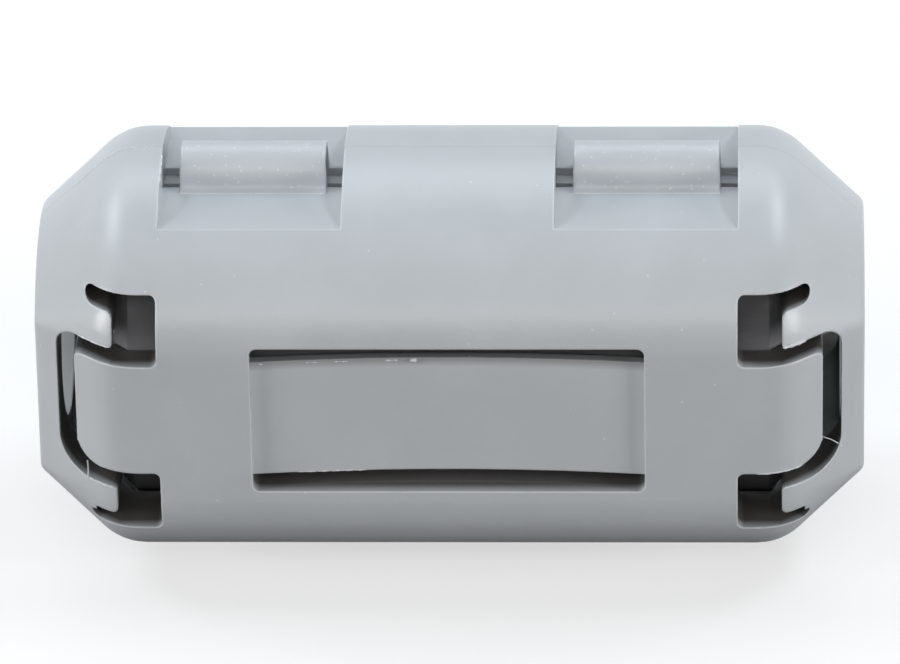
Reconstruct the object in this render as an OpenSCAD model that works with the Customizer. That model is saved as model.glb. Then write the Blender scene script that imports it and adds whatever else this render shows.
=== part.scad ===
// Clip-on ferrite bead for round cable.
// Two moulded case halves close round a split ferrite sleeve. Two arched living hinges join them at
// the top, and two snap arms on the front half lock over catches on the rear half at the bottom.
// X runs along the cable, +Z points at the hinge, -Y is the front half. Origin: middle of the cable hole.
// Lengths are in millimetres.

/* [Case] */
// length of the closed case along the cable
case_length = 25; // [22:0.5:34]
// outer radius of the round barrel
barrel_radius = 6.35; // [6:0.05:8]
// length of the tapered nose at each end, up to the sharp corner
nose_length = 2.5; // [2.2:0.1:3]
// how far each nose closes in from the barrel to the end face
nose_depth = 2.29; // [1.9:0.01:2.35]
// rounding between barrel and nose
shoulder_round = 1.92; // [0.8:0.02:2.5]
// rounding round the rim of each end face
rim_round = 0.33; // [0.15:0.01:0.5]
// how far the flat front and rear sides lie inside the barrel
side_inset = 0.625; // [0.35:0.005:0.75]
// rounding between the flat sides and the round barrel
side_round = 2.83; // [2.5:0.01:3.5]
// how far the flat bottom lies inside the barrel
bottom_inset = 1.19; // [1:0.01:1.3]
// rounding between the flat sides and the flat bottom
bottom_round = 2.5; // [2.45:0.01:3]
// wall behind the flat sides and under the nose
wall = 0.79; // [0.7:0.01:0.88]
// case and ferrite together, from the cable hole out to the barrel
jacket_thickness = 3.85; // [3.4:0.05:4.2]
// bevel at the outer edge of the cable hole
hole_bevel = 0.15; // [0.1:0.05:0.25]
// gap between the two halves at the parting plane
parting_gap = 0.01; // [0.01:0.01:0.16]

/* [Cable grips] */
// thickness of the closed ring at each end
end_ring = 0.7; // [0.6:0.02:0.9]
// width of the slots that free the grip tongues
grip_slot = 0.57; // [0.42:0.01:0.66]
// length of a grip tongue from its root to its free tip
grip_length = 2.55; // [2.2:0.05:3]
// width of a grip tongue across the cable
grip_width = 3.6; // [3:0.05:3.8]
// rounding at the lower tip corner of a grip tongue
grip_round = 0.75; // [0.25:0.05:0.9]
// rounding at the upper tip corner of a grip tongue
grip_corner = 0.25; // [0.1:0.05:0.9]
// length of the ferrite window beside each tongue root
window_length = 1.33; // [1:0.01:1.5]
// height of the upper window row above the middle of the case
window_top = 3.88; // [3.7:0.02:4]
// depth of the lower window row below the middle of the case
window_bottom = 3.78; // [3.6:0.02:4]
// rounding at the corners of the windows and tabs
window_round = 0.2; // [0.1:0.02:0.25]
// thickness of the claw turned in at a tongue tip
claw_thickness = 0.42; // [0.25:0.01:0.65]
// width of the claw
claw_width = 2.5; // [1.7:0.1:3]
// gap between a claw and the cable hole
claw_gap = 0.08; // [0.04:0.02:0.3]
// width of the narrow relief that runs out over the nose
relief_width = 0.5; // [0.35:0.05:0.6]
// length of the narrow relief past the window
relief_length = 0.83; // [0.6:0.01:1.1]

/* [Spring panel] */
// length of the spring panel opening along the cable
panel_length = 11.8; // [8.5:0.1:13.5]
// width of the spring panel
panel_width = 3.79; // [3:0.01:4]
// slot above and below the spring panel
panel_slot = 0.51; // [0.35:0.01:0.65]
// rounding at the corners of the panel opening
panel_corner = 0.22; // [0.1:0.02:0.3]
// step from the flat side down to the panel ends
panel_step = 0.17; // [0.08:0.01:0.18]
// inward bow of the panel at its middle
panel_bow = 0.33; // [0.15:0.01:0.35]
// thickness of the panel
panel_thickness = 0.35; // [0.3:0.01:0.38]

/* [Hinge] */
// depth of the hinge flats below the barrel
hinge_depth = 1.05; // [0.85:0.01:1.15]
// distance from the end of the case to the near wall of a hinge flat
hinge_setback = 3.81; // [3.4:0.01:4.6]
// width of a hinge flat along the cable
hinge_width = 5.5; // [4.7:0.1:5.8]
// gap between a strap end and the wall of its flat
strap_gap = 0.6; // [0.35:0.05:0.75]
// draft at the ends of a strap
strap_draft = 0.08; // [0:0.02:0.16]
// outer radius of the strap arch
strap_radius = 0.88; // [0.8:0.02:1.1]
// height of the middle of the arch above its flat
strap_rise = 0.27; // [0.27:0.01:0.4]
// thickness of the strap
strap_thickness = 0.23; // [0.17:0.01:0.33]
// rounding where a strap meets its flat
strap_foot = 0.25; // [0.15:0.01:0.25]
// depth of the groove under each arch
groove_depth = 0.2; // [0.15:0.01:0.3]
// web left under the groove
groove_web = 0.55; // [0.45:0.01:0.6]
// width of the seam notch along the parting plane of the front half
seam_width = 0.42; // [0.2:0.02:0.5]
// depth of the seam notch below the groove
seam_depth = 0.3; // [0.1:0.05:0.4]

/* [Latch] */
// thickness of a snap arm
arm_thickness = 1.04; // [0.9:0.02:1.15]
// width of a snap arm along the cable
arm_width = 4.3; // [3.7:0.1:4.6]
// reach of a snap arm past the parting plane
arm_reach = 2.67; // [2.5:0.01:3]
// start of a snap arm on the front half
arm_root = 1.25; // [1:0.05:1.3]
// ramp from the flat bottom out to the snap arm
arm_ramp = 1; // [0.65:0.05:1.15]
// gap round a snap arm
arm_gap = 0.08; // [0.04:0.02:0.16]
// bar left at the tip of a snap arm
arm_bar = 0.92; // [0.75:0.01:1.1]
// width of the catch opening in a snap arm
catch_width = 2.5; // [1.7:0.1:3]
// height of a catch on the flat bottom
catch_height = 0.75; // [0.6:0.05:0.9]
// length of a catch ramp
catch_length = 0.88; // [0.65:0.01:0.92]

/* [Ferrite] */
// gap between the ferrite and the case
core_gap = 0.12; // [0.08:0.02:0.25]
// distance from the ferrite end to the case end
core_setback = 2.45; // [2.45:0.05:3.8]
// bevel at the ends of the ferrite
core_bevel = 0.42; // [0.15:0.01:0.45]
// air gap between the ferrite halves
core_split = 0.02; // [0.01:0.01:0.05]

/* [Hidden] */
$fn = 96;
far = 40;
half_length = case_length / 2;
shoulder = half_length - nose_length;
nose_slope = nose_depth / nose_length;
side_flat = barrel_radius - side_inset;
cable_radius = barrel_radius - jacket_thickness;
side_overlap = 0.004;
side_depth = side_flat + side_overlap - side_round;
side_height = sqrt(pow(barrel_radius + side_overlap - side_round, 2) - side_depth * side_depth);
bottom_flat = barrel_radius - bottom_inset;
bottom_depth = side_flat + side_overlap - bottom_round;
bottom_height = bottom_flat + side_overlap - bottom_round;
cavity_radius = side_flat - wall;
ring_inner = half_length - end_ring;
cavity_shoulder = shoulder - wall * (sqrt(1 + nose_slope * nose_slope) - 1) / nose_slope;
nose_inner = max(cable_radius + claw_gap / 2, cavity_radius - (ring_inner - cavity_shoulder) * nose_slope);
hinge_floor = barrel_radius - hinge_depth;
cavity_flat = hinge_floor - groove_depth - groove_web;
hinge_middle = half_length - hinge_setback - hinge_width / 2;
strap_width = hinge_width - 2 * strap_gap;
strap_inner = strap_radius - strap_thickness;
tip = ring_inner - grip_slot;
grip_root = tip - grip_length;
window_end = grip_root + window_length;
grip_edge = grip_width / 2;
slot_edge = grip_edge + grip_slot;
panel_end = panel_length / 2;
panel_edge = panel_width / 2;
panel_middle = side_flat - panel_step - panel_bow;
bow_radius = (panel_end * panel_end + panel_bow * panel_bow) / (2 * panel_bow);
arm_seat = (cavity_flat + bottom_flat) / 2;
arm_inner = bottom_flat + arm_gap;
arm_outer = arm_inner + arm_thickness;
arm_bar_face = arm_reach - arm_bar;
catch_tip = arm_bar_face - arm_gap;
catch_root = catch_tip - catch_length;
core_radius = cavity_radius - core_gap;
core_flat = cavity_flat - core_gap;
core_end = half_length - core_setback;

function unit(v) = v / norm(v);

// Distance from a corner to where a rounding of radius r touches its sides a and b.
function touch(a, b, r) = r / tan(acos(unit(a) * unit(b)) / 2);

// Middle of a rounding of radius r inside the corner p with sides a and b.
function round_middle(p, a, b, r) = p + unit(unit(a) + unit(b)) * r / sin(acos(unit(a) * unit(b)) / 2);

// Turns a shape built on the Z axis so that it runs along the cable.
module along_cable() {
    rotate([0, 90, 0])
        children();
}

// Pushes a flat shape, drawn as cable by height, through the front wall.
module through_front() {
    translate([0, -cable_radius / 2, 0])
        rotate([90, 0, 0])
            linear_extrude(far)
                children();
}

// Runs a flat shape, drawn as depth by height, along the cable for a length centred on x.
module run_along(x, length) {
    translate([x - length / 2, 0, 0])
        rotate([90, 0, 90])
            linear_extrude(length)
                children();
}

module both_ends() {
    children();
    mirror([1, 0, 0])
        children();
}

// Outline of one end of the case, as reach from a line along the cable by length.
// Every reach gets the same shoulder, nose and rim, so bodies of different reach meet smoothly.
module end_outline(reach) {
    nose = [-nose_depth, nose_length];
    shoulder_touch = touch([0, -1], nose, shoulder_round);
    rim_touch = touch(-nose, [-1, 0], rim_round);
    shoulder_corner = [reach, shoulder];
    rim_corner = shoulder_corner + nose;
    intersection() {
        union() {
            polygon([
                [0, -shoulder_round],
                [reach, -shoulder_round],
                shoulder_corner - [0, shoulder_touch],
                shoulder_corner + unit(nose) * shoulder_touch,
                rim_corner - unit(nose) * rim_touch,
                rim_corner - [rim_touch, 0],
                [0, half_length]
            ]);
            translate(round_middle(shoulder_corner, [0, -1], nose, shoulder_round))
                circle(shoulder_round);
            translate(round_middle(rim_corner, -nose, [-1, 0], rim_round))
                circle(rim_round);
        }
        translate([0, -far])
            square([far, 2 * far]);
    }
}

module case_outline(reach) {
    end_outline(reach);
    mirror([0, 1])
        end_outline(reach);
}

module round_body(reach) {
    along_cable()
        rotate_extrude()
            case_outline(reach);
}

// What is taken off an upper long corner, outside a turned body that reaches just past both faces.
module side_corner() {
    wedge = far / side_depth;
    difference() {
        run_along(0, 2 * far)
            polygon([[side_depth, side_height], [far, side_height], [far, side_height * wedge]]);
        translate([0, side_depth, side_height])
            round_body(side_round);
    }
}

// What is taken off a lower long corner, outside a tighter turned body.
module bottom_corner() {
    difference() {
        translate([-far, bottom_depth, -bottom_height - far])
            cube([2 * far, far, far]);
        translate([0, bottom_depth, -bottom_height])
            round_body(bottom_round);
    }
}

// What is taken off above the middle of the case, outside the turned barrel.
module barrel_cut() {
    difference() {
        translate([-far, -far, 0])
            cube([2 * far, 2 * far, far]);
        round_body(barrel_radius);
    }
}

// Case outside: two flat sides and a flat bottom under a turned barrel, with all long corners rounded.
module solid_case() {
    difference() {
        intersection() {
            rotate([0, 0, 90])
                linear_extrude(2 * far, center = true) {
                    case_outline(side_flat);
                    mirror([1, 0])
                        case_outline(side_flat);
                }
            rotate([90, 90, 0])
                linear_extrude(2 * far, center = true) {
                    case_outline(bottom_flat);
                    translate([-far, -far])
                        square([far, 2 * far]);
                }
        }
        barrel_cut();
        for (back = [0, 1])
            mirror([0, back, 0]) {
                side_corner();
                bottom_corner();
            }
    }
}

// Room for the ferrite, with flats under the hinge and over the latch and a tapered nose at each end.
module cavity() {
    intersection() {
        along_cable()
            rotate_extrude()
                polygon([
                    [0, -ring_inner],
                    [nose_inner, -ring_inner],
                    [cavity_radius, -cavity_shoulder],
                    [cavity_radius, cavity_shoulder],
                    [nose_inner, ring_inner],
                    [0, ring_inner]
                ]);
        cube([2 * far, 2 * far, 2 * cavity_flat], center = true);
    }
}

module cable_hole() {
    along_cable()
        cylinder(h = 2 * far, r = cable_radius, center = true);
    both_ends()
        translate([half_length - hole_bevel, 0, 0])
            along_cable()
                cylinder(h = 2 * hole_bevel, r1 = cable_radius, r2 = cable_radius + 2 * hole_bevel);
}

// What a rounding of radius r leaves in a corner that opens along inward.
module corner_piece(corner, inward, r) {
    difference() {
        translate(corner)
            square(2 * r, center = true);
        translate(corner + inward * r)
            circle(r);
    }
}

// What a rounding of radius r takes off an outer corner whose body lies along inward.
module corner_taken(corner, inward, r) {
    difference() {
        translate(corner + inward * r * 0.49)
            square(r * 1.02, center = true);
        translate(corner + inward * r)
            circle(r);
    }
}

// Quarter of the slot pattern that frees one grip tongue, as cable by height.
module grip_slots_quarter(tongue_round, row) {
    relief_floor = row - relief_width;
    difference() {
        union() {
            translate([grip_root, grip_edge])
                square([window_length, row - grip_edge]);
            translate([grip_root, grip_edge])
                square([ring_inner - grip_root, grip_slot]);
            translate([tip, 0])
                square([grip_slot, slot_edge]);
            translate([window_end - relief_width, relief_floor])
                square([relief_length + relief_width / 2, relief_width]);
            translate([window_end + relief_length - relief_width / 2, row - relief_width / 2])
                circle(relief_width / 2);
            corner_taken([tip, grip_edge], [-1, -1], tongue_round);
            corner_taken([window_end, relief_floor], [1, -1], window_round);
            corner_taken([window_end, slot_edge], [1, 1], window_round / 2);
        }
        corner_piece([ring_inner, slot_edge], [-1, -1], tongue_round + grip_slot * 0.6);
        corner_piece([grip_root, row], [1, -1], window_round);
        corner_piece([grip_root, grip_edge], [1, 1], window_round);
    }
}

module grip_slots() {
    grip_slots_quarter(grip_corner, window_top);
    mirror([0, 1])
        grip_slots_quarter(grip_round, window_bottom);
}

// Claw at the tip of the front grip tongue, kept clear of the cable hole.
module claw() {
    intersection() {
        difference() {
            translate([tip - claw_thickness, -barrel_radius, -claw_width / 2])
                cube([claw_thickness, barrel_radius - cable_radius / 2, claw_width]);
            along_cable()
                cylinder(h = far, r = cable_radius + claw_gap);
        }
        solid_case();
    }
}

// Thin panel bowed towards the ferrite, held at its two ends.
module spring_panel() {
    intersection() {
        translate([0, -panel_middle - bow_radius, -panel_edge])
            linear_extrude(panel_width)
                difference() {
                    circle(bow_radius + panel_thickness, $fn = 720);
                    circle(bow_radius, $fn = 720);
                }
        translate([-panel_end - wall / 2, -side_flat, -panel_width])
            cube([panel_length + wall, side_flat - cable_radius, 2 * panel_width]);
    }
}

module hinge_flats() {
    for (x = [-hinge_middle, hinge_middle]) {
        translate([x - hinge_width / 2, -far / 2, hinge_floor])
            cube([hinge_width, far, far]);
        translate([x - hinge_width / 2, -strap_inner, hinge_floor - groove_depth])
            cube([hinge_width, 2 * strap_inner, far]);
    }
}

// Opening round the spring panel, as cable by height.
module panel_opening() {
    edge = panel_edge + panel_slot;
    difference() {
        translate([-panel_end, -edge])
            square([panel_length, 2 * edge]);
        for (x = [-1, 1], z = [-1, 1])
            corner_piece([x * panel_end, z * edge], [-x, -z], panel_corner);
    }
}

// The half of the case in front of the parting plane, before hinge and latch are added.
module plain_half() {
    difference() {
        solid_case();
        cavity();
        cable_hole();
        hinge_flats();
        translate([-far, -parting_gap / 2, -far])
            cube(2 * far);
        through_front()
            panel_opening();
        both_ends()
            through_front()
                grip_slots();
    }
    spring_panel();
    both_ends()
        claw();
}

// Depth by height outline of a snap arm and the ramp that carries it on the front half.
module arm_outline() {
    polygon([
        [-arm_root - arm_ramp, -arm_seat],
        [-arm_root, -arm_outer],
        [arm_reach - arm_bar / 2, -arm_outer],
        [arm_reach, -arm_outer + arm_bar / 2],
        [arm_reach, -arm_inner],
        [0, -arm_inner],
        [-arm_root, -arm_seat]
    ]);
}

module snap_arm(x) {
    difference() {
        run_along(x, arm_width)
            arm_outline();
        run_along(x, catch_width + 2 * arm_gap)
            translate([catch_root - arm_gap, -far])
                square([catch_length + 2 * arm_gap, far]);
    }
}

// Wedge that the bar of a snap arm slides over and locks behind.
module catch(x) {
    run_along(x, catch_width)
        polygon([
            [catch_root, -arm_seat],
            [catch_root, -bottom_flat - arm_gap],
            [catch_tip - catch_length / 4, -bottom_flat - catch_height],
            [catch_tip, -bottom_flat - catch_height],
            [catch_tip, -arm_seat]
        ]);
}

// Arch on two short legs, with a small rounding where each leg meets its flat.
module strap(x) {
    top = hinge_floor + strap_rise + strap_radius;
    foot_end = strap_radius + strap_foot * 0.9;
    intersection() {
        run_along(x, hinge_width)
            difference() {
                union() {
                    translate([0, hinge_floor + strap_rise])
                        circle(strap_radius);
                    translate([-strap_radius, hinge_floor])
                        square([2 * strap_radius, strap_rise]);
                    translate([-foot_end, hinge_floor])
                        square([2 * foot_end, strap_foot]);
                }
                translate([0, hinge_floor + strap_rise])
                    circle(strap_inner);
                translate([-strap_inner, hinge_floor - strap_rise])
                    square([2 * strap_inner, 2 * strap_rise]);
                translate([-far / 2, hinge_floor - far])
                    square([far, far]);
                for (side = [-1, 1])
                    translate([side * (strap_radius + strap_foot - side_overlap), hinge_floor + strap_foot])
                        circle(strap_foot);
            }
        rotate([90, 0, 0])
            linear_extrude(far, center = true)
                polygon([
                    [x - strap_width / 2 - strap_draft, hinge_floor],
                    [x + strap_width / 2 + strap_draft, hinge_floor],
                    [x + strap_width / 2, top + strap_thickness],
                    [x - strap_width / 2, top + strap_thickness]
                ]);
    }
}

// Front half of the split ferrite sleeve.
module ferrite_half() {
    difference() {
        intersection() {
            along_cable()
                rotate_extrude()
                    polygon([
                        [cable_radius + core_bevel, -core_end],
                        [core_radius - core_bevel, -core_end],
                        [core_radius, -core_end + core_bevel],
                        [core_radius, core_end - core_bevel],
                        [core_radius - core_bevel, core_end],
                        [cable_radius + core_bevel, core_end],
                        [cable_radius, core_end - core_bevel],
                        [cable_radius, -core_end + core_bevel]
                    ]);
            cube([2 * far, 2 * far, 2 * core_flat], center = true);
        }
        translate([-far, -core_split / 2, -far])
            cube(2 * far);
    }
}

module rear_case_half() {
    color("Silver") {
        mirror([0, 1, 0])
            plain_half();
        catch(-hinge_middle);
        catch(hinge_middle);
    }
}

// Notch that sets the front half back from the parting plane under each arch.
module seam_notches() {
    for (x = [-hinge_middle, hinge_middle])
        translate([x - hinge_width / 2, -seam_width, hinge_floor - groove_depth - seam_depth])
            cube([hinge_width, far, far]);
}

module front_case_half() {
    color("LightSlateGray") {
        difference() {
            plain_half();
            seam_notches();
        }
        snap_arm(-hinge_middle);
        snap_arm(hinge_middle);
    }
}

module hinge_strap_left() {
    color("Gainsboro")
        strap(-hinge_middle);
}

module hinge_strap_right() {
    color("Gainsboro")
        strap(hinge_middle);
}

module rear_ferrite_half() {
    color("DimGray")
        mirror([0, 1, 0])
            ferrite_half();
}

module front_ferrite_half() {
    color("DarkSlateGray")
        ferrite_half();
}

rear_case_half();
front_case_half();
hinge_strap_left();
hinge_strap_right();
rear_ferrite_half();
front_ferrite_half();
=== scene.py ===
import math

import bpy
import numpy as np
from mathutils import Matrix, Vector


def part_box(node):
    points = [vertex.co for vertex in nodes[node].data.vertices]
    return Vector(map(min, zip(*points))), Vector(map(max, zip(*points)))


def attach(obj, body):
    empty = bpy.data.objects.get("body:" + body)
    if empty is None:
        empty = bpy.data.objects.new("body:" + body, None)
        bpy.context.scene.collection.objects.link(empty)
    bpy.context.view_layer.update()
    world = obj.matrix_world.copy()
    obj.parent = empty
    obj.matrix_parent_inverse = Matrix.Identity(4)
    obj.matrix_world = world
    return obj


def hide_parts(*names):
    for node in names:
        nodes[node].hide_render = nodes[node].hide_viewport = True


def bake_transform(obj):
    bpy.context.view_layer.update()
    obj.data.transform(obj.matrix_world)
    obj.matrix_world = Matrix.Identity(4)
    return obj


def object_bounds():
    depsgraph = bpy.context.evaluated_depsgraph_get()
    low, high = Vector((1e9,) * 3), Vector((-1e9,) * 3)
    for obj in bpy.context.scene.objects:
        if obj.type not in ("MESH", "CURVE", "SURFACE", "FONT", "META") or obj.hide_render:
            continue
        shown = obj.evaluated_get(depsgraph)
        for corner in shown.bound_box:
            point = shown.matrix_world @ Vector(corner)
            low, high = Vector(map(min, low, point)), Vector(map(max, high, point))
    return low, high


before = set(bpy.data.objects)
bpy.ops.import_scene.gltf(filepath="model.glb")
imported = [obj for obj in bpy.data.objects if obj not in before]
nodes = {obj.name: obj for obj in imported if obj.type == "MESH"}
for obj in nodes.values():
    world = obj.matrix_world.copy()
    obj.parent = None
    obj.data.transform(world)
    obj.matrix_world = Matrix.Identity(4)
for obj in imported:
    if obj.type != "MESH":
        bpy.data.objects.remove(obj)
cad_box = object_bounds()


# Ferrite sleeve
# Two half sleeves of pressed and sintered ferrite fill the case. Their mating faces are ground flat,
# the rest keeps the dull, slightly pitted skin of the kiln, and the edges are a little chipped.

mm = 0.001
kiln_dark, kiln_light = (0.10, 0.10, 0.105), (0.145, 0.145, 0.152)
pit_colour = (0.03, 0.03, 0.032)
chip_colour = (0.115, 0.115, 0.12)
ground_dark, ground_light = (0.085, 0.086, 0.09), (0.13, 0.131, 0.136)
ground_depth = 0.02 * mm
ground_lines_per_mm = (0.05, 1, 9)
ground_polish = -0.3


def fill(tree, node, inputs):
    """Fills a node's inputs by name or place: a socket is linked, a value is set."""
    for name, value in inputs.items():
        if isinstance(value, bpy.types.NodeSocket):
            tree.links.new(value, node.inputs[name])
        else:
            node.inputs[name].default_value = value
    return node


def put(tree, kind, inputs=None, **settings):
    """Adds a node, sets its properties and fills its inputs."""
    node = tree.nodes.new(kind)
    for name, value in settings.items():
        setattr(node, name, value)
    return fill(tree, node, inputs or {})


def calc(tree, operation, *values):
    """One math node, on sockets or plain numbers."""
    return put(tree, "ShaderNodeMath", dict(enumerate(values)), operation=operation).outputs["Value"]


def slide(tree, value, start, end, low=0.0, high=1.0):
    """A value that slides from low to high while the given one goes from start to end, and no further."""
    node = put(tree, "ShaderNodeMapRange", {"Value": value, "From Min": start, "From Max": end,
                                            "To Min": low, "To Max": high})
    return node.outputs["Result"]


def start_group(name, inputs, outputs):
    """A shader node group with its named sockets; gives the tree, its input node and its output node."""
    tree = bpy.data.node_groups.new(name, "ShaderNodeTree")
    for socket, value in inputs.items():
        made = tree.interface.new_socket(socket, in_out="INPUT", socket_type="NodeSocketFloat")
        made.default_value = value
    for socket, kind in outputs.items():
        tree.interface.new_socket(socket, in_out="OUTPUT", socket_type="NodeSocket" + kind)
    return tree, tree.nodes.new("NodeGroupInput"), tree.nodes.new("NodeGroupOutput")


# Places of a Mix node's vector and colour sockets, which share their names with those of other types.
vector_first, vector_second, vector_mixed = 4, 5, 1
colour_first, colour_second, colour_mixed = 6, 7, 2

# Cosines between rounded and true normal: a crease of 9 to 5 degrees counts as shallow, and one of 8 degrees
# starts to count as an edge, which is full at 37.
crease_most, crease_least = 0.988, 0.996
edge_least, edge_full = 0.99, 0.80
bevel_samples = 6


def soft_edge_group():
    """Normals rounded over every edge, and an edge mask that grows as the cosine between rounded and true
    normal falls. Where a wide rounding leaves the normal within a few degrees, as over a shallow crease, the
    wide one is used."""
    tree, given, result = start_group("soft_edges", {"Radius": 0.06 * mm, "Wide Radius": 0.5 * mm},
                                      {"Normal": "Vector", "Edge": "Float"})
    surface = put(tree, "ShaderNodeNewGeometry")
    normals, cosines = [], []
    for radius in ("Radius", "Wide Radius"):
        bevel = put(tree, "ShaderNodeBevel", {"Radius": given.outputs[radius]}, samples=bevel_samples)
        cosine = put(tree, "ShaderNodeVectorMath", {0: bevel.outputs["Normal"], 1: surface.outputs["Normal"]},
                     operation="DOT_PRODUCT")
        normals.append(bevel.outputs["Normal"])
        cosines.append(cosine.outputs["Value"])
    shallow = slide(tree, cosines[1], crease_most, crease_least)
    blended = put(tree, "ShaderNodeMix", {"Factor": shallow, vector_first: normals[0],
                                          vector_second: normals[1]}, data_type="VECTOR")
    fill(tree, result, {"Normal": blended.outputs[vector_mixed],
                        "Edge": slide(tree, cosines[0], edge_least, edge_full)})
    return tree


def skin_group():
    """Surface of a moulded or pressed piece, in cells per millimetre: a fine grain, a broad mottle, and rare
    specks where the distance to a scattered point is small and that point's own random value is under the
    share."""
    tree, given, result = start_group(
        "skin", {"Grain": 8.0, "Mottle": 0.35, "Speck": 1.1, "Speck Size": 0.075, "Speck Share": 0.2},
        {"Grain": "Float", "Mottle": "Float", "Speck": "Float"})
    place = put(tree, "ShaderNodeTexCoord")
    scaled = put(tree, "ShaderNodeVectorMath", {0: place.outputs["Object"], "Scale": 1 / mm},
                 operation="SCALE")
    in_mm = scaled.outputs["Vector"]
    grain = put(tree, "ShaderNodeTexNoise", {"Vector": in_mm, "Scale": given.outputs["Grain"],
                                             "Detail": 3.0, "Roughness": 0.6})
    mottle = put(tree, "ShaderNodeTexNoise", {"Vector": in_mm, "Scale": given.outputs["Mottle"],
                                              "Detail": 4.0, "Roughness": 0.55, "Distortion": 0.4})
    cells = put(tree, "ShaderNodeTexVoronoi", {"Vector": in_mm, "Scale": given.outputs["Speck"]})
    core = calc(tree, "MULTIPLY", given.outputs["Speck Size"], 0.5)
    near = slide(tree, cells.outputs["Distance"], given.outputs["Speck Size"], core)
    chance = put(tree, "ShaderNodeSeparateColor", {"Color": cells.outputs["Color"]})
    picked = calc(tree, "LESS_THAN", chance.outputs["Red"], given.outputs["Speck Share"])
    fill(tree, result, {"Grain": grain.outputs["Fac"], "Mottle": mottle.outputs["Fac"],
                        "Speck": calc(tree, "MULTIPLY", near, picked)})
    return tree


def blank_material(name):
    """A new material, with its node tree and its shader."""
    material = bpy.data.materials.new(name)
    material.use_nodes = True
    tree = material.node_tree
    return material, tree, tree.nodes["Principled BSDF"]


def use_group(tree, group, inputs):
    """Places a node group in a material, with its own values or links, and gives its outputs."""
    return put(tree, "ShaderNodeGroup", inputs, node_tree=group).outputs


def ramp(tree, value, low, high, low_colour, high_colour):
    """Colour that runs from one to the other while the value runs from low to high."""
    node = put(tree, "ShaderNodeValToRGB", {"Fac": value})
    stops = node.color_ramp.elements
    stops[0].position, stops[1].position = low, high
    stops[0].color, stops[1].color = (*low_colour, 1.0), (*high_colour, 1.0)
    return node.outputs["Color"]


def lay_over(tree, base, share, colour):
    """Base colour where the share is nought, and the other one where it is one."""
    node = put(tree, "ShaderNodeMix", {"Factor": share, colour_first: base, colour_second: colour},
               data_type="RGBA")
    return node.outputs[colour_mixed]


def tint(tree, base, share, colour, most):
    """Base colour laid over with a plain one where the share, times most, asks for it."""
    return lay_over(tree, base, calc(tree, "MULTIPLY", share, most), (*colour, 1.0))


soft_edges = soft_edge_group()
skin = skin_group()


def ferrite_material():
    """Dark grey by mottle, darker in pits and paler on chipped edges. Within a hair of the parting plane it
    is ground: drawn out lines along the cable, and smoother."""
    material, tree, shader = blank_material("sintered_ferrite")
    surface = use_group(tree, skin, {"Grain": 14.0, "Mottle": 0.8, "Speck": 2.4, "Speck Share": 0.35})
    edges = use_group(tree, soft_edges, {"Radius": 0.08 * mm})
    place = put(tree, "ShaderNodeTexCoord").outputs["Object"]
    axes = put(tree, "ShaderNodeSeparateXYZ", {"Vector": place})
    ground = slide(tree, calc(tree, "ABSOLUTE", axes.outputs["Y"]), 2 * ground_depth, ground_depth)
    stretched = put(tree, "ShaderNodeMapping",
                    {"Vector": place, "Scale": [lines / mm for lines in ground_lines_per_mm]})
    lines = put(tree, "ShaderNodeTexNoise", {"Vector": stretched.outputs["Vector"],
                                             "Scale": 1.0, "Detail": 3.0})
    fired = ramp(tree, surface["Mottle"], 0.3, 0.7, kiln_dark, kiln_light)
    pitted = tint(tree, fired, surface["Speck"], pit_colour, 0.8)
    chipped = tint(tree, pitted, edges["Edge"], chip_colour, 0.45)
    grindings = ramp(tree, lines.outputs["Fac"], 0.35, 0.65, ground_dark, ground_light)
    dull = slide(tree, surface["Grain"], 0.0, 1.0, 0.55, 0.8)
    bump = put(tree, "ShaderNodeBump", {"Height": surface["Grain"], "Normal": edges["Normal"],
                                        "Strength": 0.35, "Distance": 0.02 * mm})
    fill(tree, shader, {"Base Color": lay_over(tree, chipped, ground, grindings),
                        "Roughness": calc(tree, "MULTIPLY_ADD", ground, ground_polish, dull),
                        "Normal": bump.outputs["Normal"]})
    return material


sintered_ferrite = ferrite_material()
for name in ("rear_ferrite_half", "front_ferrite_half"):
    nodes[name].material_slots[0].material = sintered_ferrite


# Case halves
# Both halves are injection moulded in light grey nylon, with grip tongues, a spring panel and the latch
# moulded in. The tool leaves a fine grain and handling leaves pale specks. The edges are painted pale, as
# wear and painted highlight, and the slots and the panel's upper edge are painted dark brown as painted
# shade.

nylon_low, nylon_high = (0.515, 0.54, 0.56), (0.555, 0.58, 0.605)
# Dark brown painted shade for the slots and the panel's upper edge.
painted_shade_colour = (0.052, 0.044, 0.039)
# Pale for the edges: edge wear, and a painted highlight along them.
worn_and_highlight_colour = (0.93, 0.94, 0.95)
speck_colour = (0.80, 0.82, 0.83)
side_flat = 5.725 * mm
side_round, bottom_round = 2.83 * mm, 2.5 * mm
side_top, side_bottom = 2.0 * mm, 2.66 * mm
shoulder, nose_slope = 10 * mm, 0.916
panel_end, panel_edge = 5.9 * mm, 1.895 * mm
panel_middle, panel_curve = 5.225 * mm, 52.9 * mm
panel_play = 0.1 * mm
# The shelf and the levels below set where shade is painted into the slots and under the panel's upper wall.
shelf_width, shelf_shade = 0.3 * mm, 0.65
shade_level, shade_fade = 5.1 * mm, 0.5 * mm
parting_near, parting_far = 0.1 * mm, 0.25 * mm
scuff_level = -3 * mm
edge_round = 0.09 * mm


# The slot mask sets where the nylon is painted dark as shade.
def crevice_group():
    """Share of the sky over a point that stays open within the reach, and a mask of slots and inner corners,
    which grows while that share falls from open to closed."""
    tree, given, result = start_group("crevices", {"Reach": 2.0 * mm, "Open": 0.96, "Closed": 0.82},
                                      {"Depth": "Float", "Sky": "Float"})
    sky = put(tree, "ShaderNodeAmbientOcclusion", {"Distance": given.outputs["Reach"]}, samples=8,
              only_local=True).outputs["AO"]
    fill(tree, result, {"Depth": slide(tree, sky, given.outputs["Open"], given.outputs["Closed"]),
                        "Sky": sky})
    return tree


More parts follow.
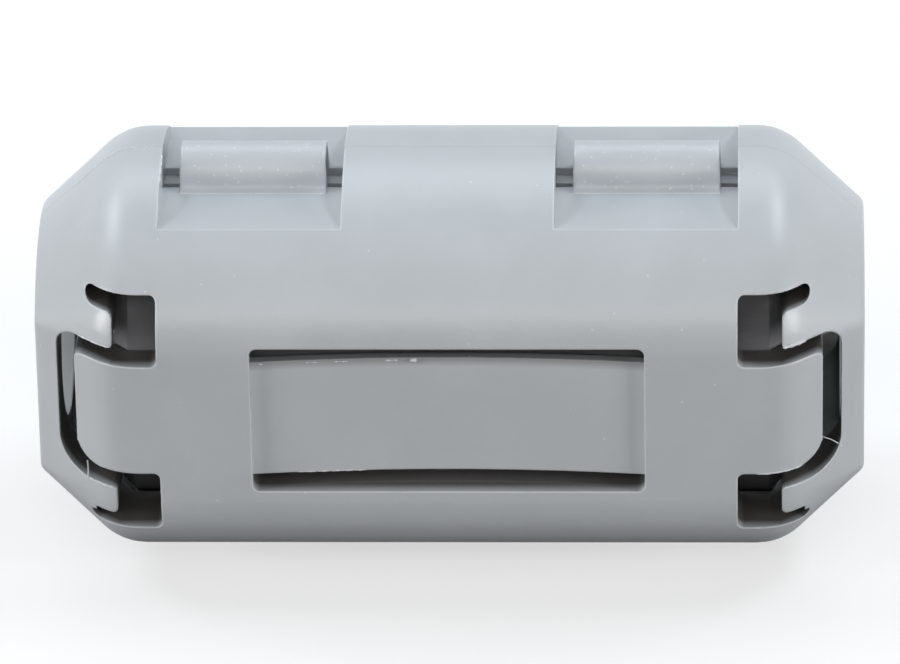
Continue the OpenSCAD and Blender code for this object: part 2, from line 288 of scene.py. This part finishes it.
def beyond(tree, value, limit):
    """How far the value goes beyond the limit, and nought before it."""
    return calc(tree, "MAXIMUM", calc(tree, "SUBTRACT", value, limit), 0.0)


def bend(tree, way, radius):
    """How far a curve leaves its tangent: the square of the way along it over twice the radius."""
    return calc(tree, "MULTIPLY", way, calc(tree, "DIVIDE", way, 2 * radius))


def recess_group():
    """Masks by place on the case. Depth grows with the depth under the outer skin, at the levels where shade
    is painted. The skin lies at the flat side, less the slope of the nose past the shoulder and the bend
    above and below the flat; on the spring panel it lies at the panel's middle plus the bend of its bow. Away
    is nought at the parting plane, where the halves press on each other. Shelf, which places painted shadow
    under the upper wall, grows towards the panel's upper edge, and Height from the underside to the middle."""
    tree, given, result = start_group(
        "recesses", {"Start": 0.02 * mm, "Full": 0.5 * mm},
        {"Depth": "Float", "Away": "Float", "Shelf": "Float", "Height": "Float"})
    place = put(tree, "ShaderNodeTexCoord")
    axes = put(tree, "ShaderNodeSeparateXYZ", {"Vector": place.outputs["Object"]})
    along = calc(tree, "ABSOLUTE", axes.outputs["X"])
    outward = calc(tree, "ABSOLUTE", axes.outputs["Y"])
    up = axes.outputs["Z"]
    down = calc(tree, "MULTIPLY", up, -1.0)
    level = calc(tree, "ABSOLUTE", up)
    inset = calc(tree, "MULTIPLY", beyond(tree, along, shoulder), nose_slope)
    bent = calc(tree, "ADD", bend(tree, beyond(tree, up, side_top), side_round),
                bend(tree, beyond(tree, down, side_bottom), bottom_round))
    wall = calc(tree, "SUBTRACT", calc(tree, "SUBTRACT", side_flat, inset), bent)
    on_panel = calc(tree, "MULTIPLY", calc(tree, "LESS_THAN", along, panel_end),
                    calc(tree, "LESS_THAN", level, panel_edge + panel_play))
    face = calc(tree, "ADD", bend(tree, along, panel_curve), panel_middle)
    outside = calc(tree, "MULTIPLY_ADD", on_panel, calc(tree, "SUBTRACT", face, wall), wall)
    below = calc(tree, "SUBTRACT", outside, outward)
    depth = slide(tree, below, given.outputs["Start"], given.outputs["Full"])
    shade_band = slide(tree, level, shade_level, shade_level - shade_fade)
    rim = slide(tree, up, panel_edge - shelf_width, panel_edge)
    fill(tree, result, {"Depth": calc(tree, "MULTIPLY", depth, shade_band),
                        "Away": slide(tree, outward, parting_near, parting_far),
                        "Shelf": calc(tree, "MULTIPLY", rim, on_panel),
                        "Height": slide(tree, up, scuff_level, 0.0)})
    return tree


crevices = crevice_group()
recesses = recess_group()


def nylon_material(name, grain, grain_depth, specks, low, high, shade_share=0.95):
    """Grey nylon: two close greys by mottle, painted dark brown as shade in the slots and at the panel's
    upper edge, pale on specks, and pale on the edges that stand under open sky as wear and painted highlight.
    It is rougher where the mottle is light, and towards the underside, which rubs on what it lies on."""
    material, tree, shader = blank_material(name)
    speck_pace, speck_size, speck_share = specks
    surface = use_group(tree, skin, {"Grain": grain, "Mottle": 0.3, "Speck": speck_pace,
                                     "Speck Size": speck_size, "Speck Share": speck_share})
    slots = use_group(tree, crevices, {})
    walls = use_group(tree, recesses, {})
    edges = use_group(tree, soft_edges, {"Radius": calc(tree, "MULTIPLY", walls["Away"], edge_round)})
    # Painted shade: dark where the slots close the sky in deep under the skin, and under the panel's upper
    # wall.
    painted_shade = calc(tree, "MAXIMUM", calc(tree, "MULTIPLY", slots["Depth"], walls["Depth"]),
                calc(tree, "MULTIPLY", walls["Shelf"], shelf_shade))
    # Edges under open sky are painted pale: edge wear, and a painted highlight.
    lit_open_edge = calc(tree, "MULTIPLY", edges["Edge"], slide(tree, slots["Sky"], 0.6, 0.75))
    worn_and_highlit = calc(tree, "MULTIPLY", lit_open_edge, calc(tree, "SUBTRACT", 1.0, walls["Shelf"]))
    body = ramp(tree, surface["Mottle"], 0.3, 0.7, low, high)
    shaded = tint(tree, body, painted_shade, painted_shade_colour, shade_share)
    rubbed_and_highlit = tint(tree, shaded, worn_and_highlit, worn_and_highlight_colour, 1.0)
    rough = slide(tree, surface["Mottle"], 0.25, 0.75, 0.28, 0.36)
    scuffed = slide(tree, walls["Height"], 0.0, 1.0, 0.45, 0.0)
    bump = put(tree, "ShaderNodeBump", {"Height": surface["Grain"], "Normal": edges["Normal"],
                                        "Strength": 0.45, "Distance": grain_depth})
    fill(tree, shader, {"Base Color": tint(tree, rubbed_and_highlit, surface["Speck"], speck_colour, 0.6),
                        "Roughness": calc(tree, "ADD", rough, scuffed), "Normal": bump.outputs["Normal"],
                        "IOR": 1.53, "Specular IOR Level": 0.5})
    return material


sparse_specks = (3.0, 0.12, 0.08)
case_nylon = nylon_material("grey_nylon", 14.0, 0.012 * mm, sparse_specks, nylon_low, nylon_high)
for name in ("rear_case_half", "front_case_half"):
    nodes[name].material_slots[0].material = case_nylon


# Hinge straps
# Each strap is a thin living hinge of the same nylon, moulded as an arch in one shot with both halves.
# On the real case it unrolls as the case opens; here it stays an arch, and its feet run out into the flats
# with a small rounding.

strap_thickness = 0.23 * mm
strap_foot = 0.25 * mm
strap_rise = 0.27 * mm
strap_draft = 0.038
strap_end_round = 0.05 * mm
strap_toe, strap_sink = 0.14 * mm, 0.015 * mm
strap_wave, wave_across, wave_up = 0.012 * mm, 0.11 * mm, 0.23 * mm
strap_sharp = math.radians(50)
arch_steps, end_steps, middle_steps = 48, 5, 9
strap_specks = (5.0, 0.2, 0.65)
# Strap greys, a little paler than the case's nylon: painted light that brightens the raised arch.
strap_low, strap_high = (0.535, 0.565, 0.59), (0.585, 0.615, 0.645)


def arch_paths(radius):
    """Outer and inner line of the arch, as depth by height above the flat. The outer one is a quarter round
    foot, a short leg, a half circle about the raised middle, and the same downwards; the inner one has legs
    and arch only. Their first and last points dip under the flat, and the outer ones run out along it."""
    turn = np.linspace(-math.pi / 2, -math.pi, arch_steps // 4 + 1)
    foot = np.stack([radius + strap_foot + strap_foot * np.cos(turn),
                     strap_foot + strap_foot * np.sin(turn)], 1)
    over = np.linspace(0, math.pi, arch_steps + 1)
    arch = np.stack([np.cos(over), np.sin(over)], 1)
    outer = np.concatenate([foot, radius * arch + (0, strap_rise), foot[::-1] * (-1, 1)])
    inner_radius = radius - strap_thickness
    leg = np.stack([np.full(len(foot), inner_radius), foot[:, 1]], 1)
    inner = np.concatenate([leg, inner_radius * arch + (0, strap_rise), leg[::-1] * (-1, 1)])
    outer[[0, -1]] += np.array([(strap_toe, -strap_sink), (-strap_toe, -strap_sink)])
    inner[[0, -1], 1] -= strap_sink
    return outer, inner


def strap_mesh(name, node):
    """The arch carried along the cable between two drafted, rounded ends. Towards an end each line moves into
    the band by one less the cosine of the rounding angle, while the place runs out by its sine. The ends are
    wavy by the product of two sines."""
    low, high = (np.array(corner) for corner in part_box(node))
    middle = (low + high) / 2
    floor = low[2]
    outer, inner = arch_paths(high[2] - floor - strap_rise)
    across = inner - outer
    across /= np.linalg.norm(across, axis=1, keepdims=True)
    angle = np.linspace(0, math.pi / 2, end_steps)
    end, straight = np.ones(end_steps), np.zeros(middle_steps)
    end_inset = strap_end_round * (1 - np.cos(angle))
    end_run = strap_end_round * (np.sin(angle) - 1)
    side = np.concatenate([-end, straight, end])
    inset = np.concatenate([end_inset[::-1], straight, end_inset])
    run = np.concatenate([end_run[::-1], straight, end_run])
    share = np.concatenate([-end, np.linspace(-0.9, 0.9, middle_steps), end])
    lines = []
    for line, inward in ((outer, across), (inner[::-1], -across[::-1])):
        flat = line[None] + inset[:, None, None] * inward[None]
        half = (high[0] - low[0]) / 2 - strap_draft * np.clip(flat[..., 1], 0, None)
        wave = strap_wave * np.sin(line[:, 0] / wave_across) * np.sin(line[:, 1] / wave_up + 1)
        along = middle[0] + share[:, None] * half + side[:, None] * (run[:, None] + wave[None])
        lines.append(np.stack([along, middle[1] + flat[..., 0], floor + flat[..., 1]], 2))
    points = np.concatenate(lines, 1)
    rows, count = points.shape[:2]
    row, column = np.meshgrid(np.arange(rows - 1), np.arange(count), indexing="ij")
    following = (column + 1) % count
    walls = np.stack([row * count + column, row * count + following,
                      (row + 1) * count + following, (row + 1) * count + column], 2).reshape(-1, 4)
    near = np.arange(count // 2 - 1)
    cap = np.stack([near, near + 1, count - 2 - near, count - 1 - near], 1)
    faces = np.concatenate([walls, cap[:, ::-1], cap + (rows - 1) * count])
    mesh = bpy.data.meshes.new(name)
    mesh.from_pydata(points.reshape(-1, 3), [], faces.tolist())
    mesh.shade_smooth()
    mesh.set_sharp_from_angle(angle=strap_sharp)
    return mesh


hinge_nylon = nylon_material("hinge_nylon", 7.0, 0.02 * mm, strap_specks, strap_low, strap_high)
for side in ("left", "right"):
    node = "hinge_strap_" + side
    strap = bpy.data.objects.new("hinge_arch_" + side, strap_mesh("hinge_arch_" + side, node))
    bpy.context.scene.collection.objects.link(strap)
    strap.data.materials.append(hinge_nylon)
    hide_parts(node)
    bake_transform(strap)


# Moulding flash
# Where the cores of the tool meet, a little nylon squeezes out of the front half: ragged lips on tabs, panel
# and one hinge pocket, crumbs along the panel's upper edge, a dotted line along the parting plane, and two
# threads drawn across the end slots.

barrel_radius = 6.35 * mm
shoulder_round = 1.92 * mm
shoulder_start, shoulder_end = 9.25 * mm, 10.55 * mm
tongue_edge, slot_edge = 1.8 * mm, 2.37 * mm
pocket_wall = 8.69 * mm
crumb_height = panel_edge - 0.09 * mm
seam_inset, seam_thinnest = 0.015 * mm, 0.002 * mm
lip_steps, crumb_steps, panel_steps, seam_steps, thread_steps = 60, 40, 80, 160, 12
ring_steps = 8
ring_lean = (0.48, 0.64, -0.6)
flash_low, flash_high = (0.66, 0.68, 0.70), (0.74, 0.76, 0.78)


def nose_inset(along):
    """How far the outside closes in: nought up to the shoulder, a circle over it, then a straight line."""
    reach = np.abs(along)
    arc = shoulder_round - np.sqrt(np.clip(shoulder_round ** 2 - (reach - shoulder_start) ** 2, 0, None))
    sloped = nose_slope * (reach - shoulder)
    return np.where(reach < shoulder_start, 0, np.where(reach < shoulder_end, arc, sloped))


def front_wall(along, height):
    """Points of the front wall over cable by height: the flat side, bent back by a circle above and below it,
    with everything drawn in by the nose inset."""
    along, height = np.broadcast_arrays(along, height)
    inset = nose_inset(along)
    radius = np.where(height > 0, side_round, bottom_round) - inset
    past = np.clip(np.where(height > 0, height - side_top, -height - side_bottom), 0, None)
    depth = -(side_flat - inset) + radius - np.sqrt(radius ** 2 - past ** 2)
    return np.stack([along, depth, height], 1)


def panel_face(along, height):
    """Points of the spring panel: its middle plus the square of the way along over twice the bow's radius."""
    along, height = np.broadcast_arrays(along, height)
    return np.stack([along, -panel_middle - along ** 2 / (2 * panel_curve), height], 1)


def ragged(count, pace, low, high):
    """Width of a ragged lip, from low to high: two sine waves of unrelated pace, tapered at both ends."""
    place = np.linspace(0, 1, count)
    wave = 0.5 + 0.28 * np.sin(pace * place) + 0.22 * np.sin(2.7 * pace * place + 1.3)
    return (low + (high - low) * wave) * np.clip(8 * np.minimum(place, 1 - place), 0.1, 1)


def strand(points, width):
    """A round thread: at each point of the path a circle of that width, square to it, closed at both ends."""
    ahead = np.gradient(points, axis=0)
    ahead /= np.linalg.norm(ahead, axis=1, keepdims=True)
    side = np.cross(ahead, ring_lean)
    side /= np.linalg.norm(side, axis=1, keepdims=True)
    turn = np.linspace(0, 2 * math.pi, ring_steps, endpoint=False)[None, :, None]
    ring = np.cos(turn) * side[:, None] + np.sin(turn) * np.cross(ahead, side)[:, None]
    rows = len(points)
    row, column = np.meshgrid(np.arange(rows - 1), np.arange(ring_steps), indexing="ij")
    following = (column + 1) % ring_steps
    walls = np.stack([row * ring_steps + column, row * ring_steps + following,
                      (row + 1) * ring_steps + following, (row + 1) * ring_steps + column], 2)
    walls = walls.reshape(-1, 4).tolist()
    ends = [list(range(ring_steps))[::-1], list(range((rows - 1) * ring_steps, rows * ring_steps))]
    return (points[:, None] + 0.5 * width[:, None, None] * ring).reshape(-1, 3), walls + ends


def lip(path, pace, low, high, thinnest=0.0):
    """A strand of ragged width along the path, with low and high in millimetres."""
    return strand(path, ragged(len(path), pace, low * mm, high * mm).clip(thinnest))


def run_mm(start, end, steps):
    """Even steps from start to end, both in millimetres."""
    return np.linspace(start, end, steps) * mm


def thread(path, sag, width):
    """A strand of one width along the path, moved by the sag times half a wave of the sine."""
    wave = np.sin(math.pi * np.linspace(0, 1, len(path)))
    return strand(path + np.outer(wave, sag), np.full(len(path), width))


# Each tab lip has its start and end along the cable, its height, its pace, and its least and greatest width.
tab_lips = ((10.02, 10.75, slot_edge, 21, 0.06, 0.13), (-10.05, -11.1, slot_edge, 17, 0.02, 0.06),
            (-10.1, -10.95, -slot_edge, 24, 0.03, 0.08), (9.2, 10.7, -tongue_edge, 31, 0.02, 0.06),
            (10.05, 10.6, -slot_edge, 14, 0.02, 0.06))
# Each crumb has the same without a height.
crumbs = ((-5.62, -5.5, 3, 0.03, 0.06), (-4.26, -3.75, 13, 0.005, 0.035), (-3.39, -2.93, 11, 0.005, 0.04),
          (-1.86, -1.45, 9, 0.02, 0.07), (-1.1, -0.9, 3, 0.10, 0.18))
seam = run_mm(-11.6, -8.8, seam_steps)
seam_path = np.stack([seam, np.full(seam_steps, -seam_inset), barrel_radius - nose_inset(seam)], 1)
pocket = run_mm(-0.5, -1.9, lip_steps)
pocket_top = np.sqrt(barrel_radius ** 2 - pocket ** 2)
pocket_path = np.stack([np.full(lip_steps, -pocket_wall), pocket, pocket_top], 1)
left_gap = front_wall(-10.93 * mm, np.linspace(-tongue_edge, -slot_edge, thread_steps))
right_gap = front_wall(run_mm(11.2, 11.82, thread_steps), run_mm(-1.1, -1.72, thread_steps))

flash_parts = [lip(front_wall(run_mm(start, end, lip_steps), height), pace, low, high)
               for start, end, height, pace, low, high in tab_lips]
flash_parts += [lip(panel_face(run_mm(start, end, crumb_steps), crumb_height), pace, low, high)
                for start, end, pace, low, high in crumbs]
flash_parts += [lip(panel_face(run_mm(-4.6, -2.4, panel_steps), -panel_edge), 37, 0.01, 0.06),
                lip(seam_path, 90, -0.04, 0.09, seam_thinnest),
                lip(pocket_path, 23, 0.01, 0.09),
                thread(left_gap, (0.01 * mm, 0.05 * mm, 0), 0.045 * mm),
                thread(right_gap, (0, 0.08 * mm, 0), 0.03 * mm)]
flash_points, flash_faces = [], []
for points, faces in flash_parts:
    first = sum(len(group) for group in flash_points)
    flash_points.append(points)
    flash_faces += [[first + corner for corner in face] for face in faces]
flash_mesh = bpy.data.meshes.new("moulding_flash")
flash_mesh.from_pydata(np.concatenate(flash_points).clip(cad_box[0], cad_box[1]), [], flash_faces)
flash_mesh.shade_smooth()
flash = bpy.data.objects.new("moulding_flash", flash_mesh)
bpy.context.scene.collection.objects.link(flash)
flash_nylon = nylon_material("flash_nylon", 7.0, 0.01 * mm, sparse_specks, flash_low, flash_high,
                             shade_share=0.0)
flash.data.materials.append(flash_nylon)
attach(flash, "front_half")


# Table and light
# A pale table under soft boxes behind and in front of the bead, two small keys over its shoulders, and two
# low boxes beside it, as for a catalogue picture. The table and the room look white and throw little light
# back.

table_size = 1.2
table_colour, table_glow = (0.5, 0.5, 0.5, 1.0), 0.58
table_bounce = (0.03, 0.03, 0.03, 1.0)
room_colour, room_level = (0.93, 0.96, 1.0, 1.0), 0.02
white = (1.0, 1.0, 1.0, 1.0)

corner = table_size / 2
table_mesh = bpy.data.meshes.new("table")
table_mesh.from_pydata([(-corner, -corner, cad_box[0].z), (corner, -corner, cad_box[0].z),
                        (corner, corner, cad_box[0].z), (-corner, corner, cad_box[0].z)], [], [(0, 1, 2, 3)])
table = bpy.data.objects.new("table", table_mesh)
bpy.context.scene.collection.objects.link(table)


def seen_share(tree):
    """One for rays from the camera, from a gloss or through glass, nought for light that lights the part."""
    path = put(tree, "ShaderNodeLightPath")
    mirrored = calc(tree, "MAXIMUM", path.outputs["Is Camera Ray"], path.outputs["Is Glossy Ray"])
    return calc(tree, "MAXIMUM", mirrored, path.outputs["Is Transmission Ray"])


paper, paper_tree, paper_shader = blank_material("pale_table")
paper_tree.nodes.remove(paper_shader)
seen_paper = put(paper_tree, "ShaderNodeBsdfDiffuse", {"Color": table_colour})
paper_glow = put(paper_tree, "ShaderNodeEmission", {"Color": white, "Strength": table_glow})
bright_paper = put(paper_tree, "ShaderNodeAddShader",
                   {0: seen_paper.outputs["BSDF"], 1: paper_glow.outputs["Emission"]})
lighting_paper = put(paper_tree, "ShaderNodeBsdfDiffuse", {"Color": table_bounce})
paper_mix = put(paper_tree, "ShaderNodeMixShader",
                {0: seen_share(paper_tree), 1: lighting_paper.outputs["BSDF"],
                 2: bright_paper.outputs["Shader"]})
fill(paper_tree, paper_tree.nodes["Material Output"], {"Surface": paper_mix.outputs["Shader"]})
table.data.materials.append(paper)

world = bpy.data.worlds.new("studio")
world.use_nodes = True
bpy.context.scene.world = world
room_tree = world.node_tree
room = fill(room_tree, room_tree.nodes["Background"], {"Color": room_colour, "Strength": room_level})
room_seen = put(room_tree, "ShaderNodeBackground", {"Color": white, "Strength": 1.0})
room_mix = put(room_tree, "ShaderNodeMixShader", {0: seen_share(room_tree), 1: room.outputs["Background"],
                                                  2: room_seen.outputs["Background"]})
fill(room_tree, room_tree.nodes["World Output"], {"Surface": room_mix.outputs["Shader"]})


def soft_light(name, place, size, level, colour=(1.0, 1.0, 1.0)):
    """A wide lamp aimed at the part. Level is what a white surface facing it would show: power over pi
    squared times the distance squared."""
    lamp = bpy.data.lights.new(name, "AREA")
    lamp.shape = "RECTANGLE"
    lamp.size, lamp.size_y = size
    lamp.color = colour
    distance = math.dist(place, (0, 0, 0))
    lamp.energy = level * math.pi ** 2 * distance ** 2
    holder = bpy.data.objects.new(name, lamp)
    bpy.context.scene.collection.objects.link(holder)
    back = np.array(place) / distance
    side = np.cross((0, 1, 0) if abs(back[1]) < 0.8 else (0, 0, 1), back)
    side /= np.linalg.norm(side)
    holder.matrix_world = Matrix(np.column_stack(
        [np.append(side, 0), np.append(np.cross(back, side), 0), np.append(back, 0), np.append(place, 1)]))


sky_tint = (0.86, 0.94, 1.0)
soft_light("back_softbox", (0.0, 0.24, 0.40), (0.60, 0.20), 0.41, sky_tint)
soft_light("front_softbox", (0.0, -0.34, 0.20), (0.50, 0.14), 0.36)
soft_light("left_key", (-0.29, 0.10, 0.31), (0.08, 0.18), 0.23, sky_tint)
soft_light("right_key", (0.24, 0.08, 0.37), (0.08, 0.18), 0.22, sky_tint)
soft_light("left_softbox", (-0.40, -0.13, 0.045), (0.24, 0.10), 0.73)
soft_light("right_softbox", (0.40, -0.15, 0.045), (0.24, 0.10), 0.71)


# Camera
# The long lens of the photograph, a little right of the middle and above it, turned so that the cable runs
# level. The shift puts the middle of the bore at its pixel in the photograph.

photo_width, photo_height = 900, 664
focal_pixels = 8181
origin_pixel = (453.65, 332.9)
camera_distance = 0.25
camera_yaw = math.radians(2.1)
camera_rise = math.radians(27.5)

camera = bpy.data.objects.new("camera", bpy.data.cameras.new("camera"))
bpy.context.scene.collection.objects.link(camera)
bpy.context.scene.camera = camera
camera.data.sensor_width = 36
camera.data.lens = camera.data.sensor_width * focal_pixels / photo_width
camera.data.shift_x = (photo_width / 2 - origin_pixel[0]) / photo_width
camera.data.shift_y = (origin_pixel[1] - photo_height / 2) / photo_width
camera.data.clip_start, camera.data.clip_end = 0.01, 10
yaw_sine, yaw_cosine = math.sin(camera_yaw), math.cos(camera_yaw)
rise_sine, rise_cosine = math.sin(camera_rise), math.cos(camera_rise)
right = (yaw_cosine, yaw_sine * rise_cosine, -yaw_sine * rise_sine)
up = (0, rise_sine, rise_cosine)
back = (yaw_sine, -yaw_cosine * rise_cosine, yaw_cosine * rise_sine)
camera.matrix_world = Matrix([(right[i], up[i], back[i], camera_distance * back[i]) for i in range(3)]
                             + [(0, 0, 0, 1)])
bpy.context.scene.view_settings.view_transform = "Standard"
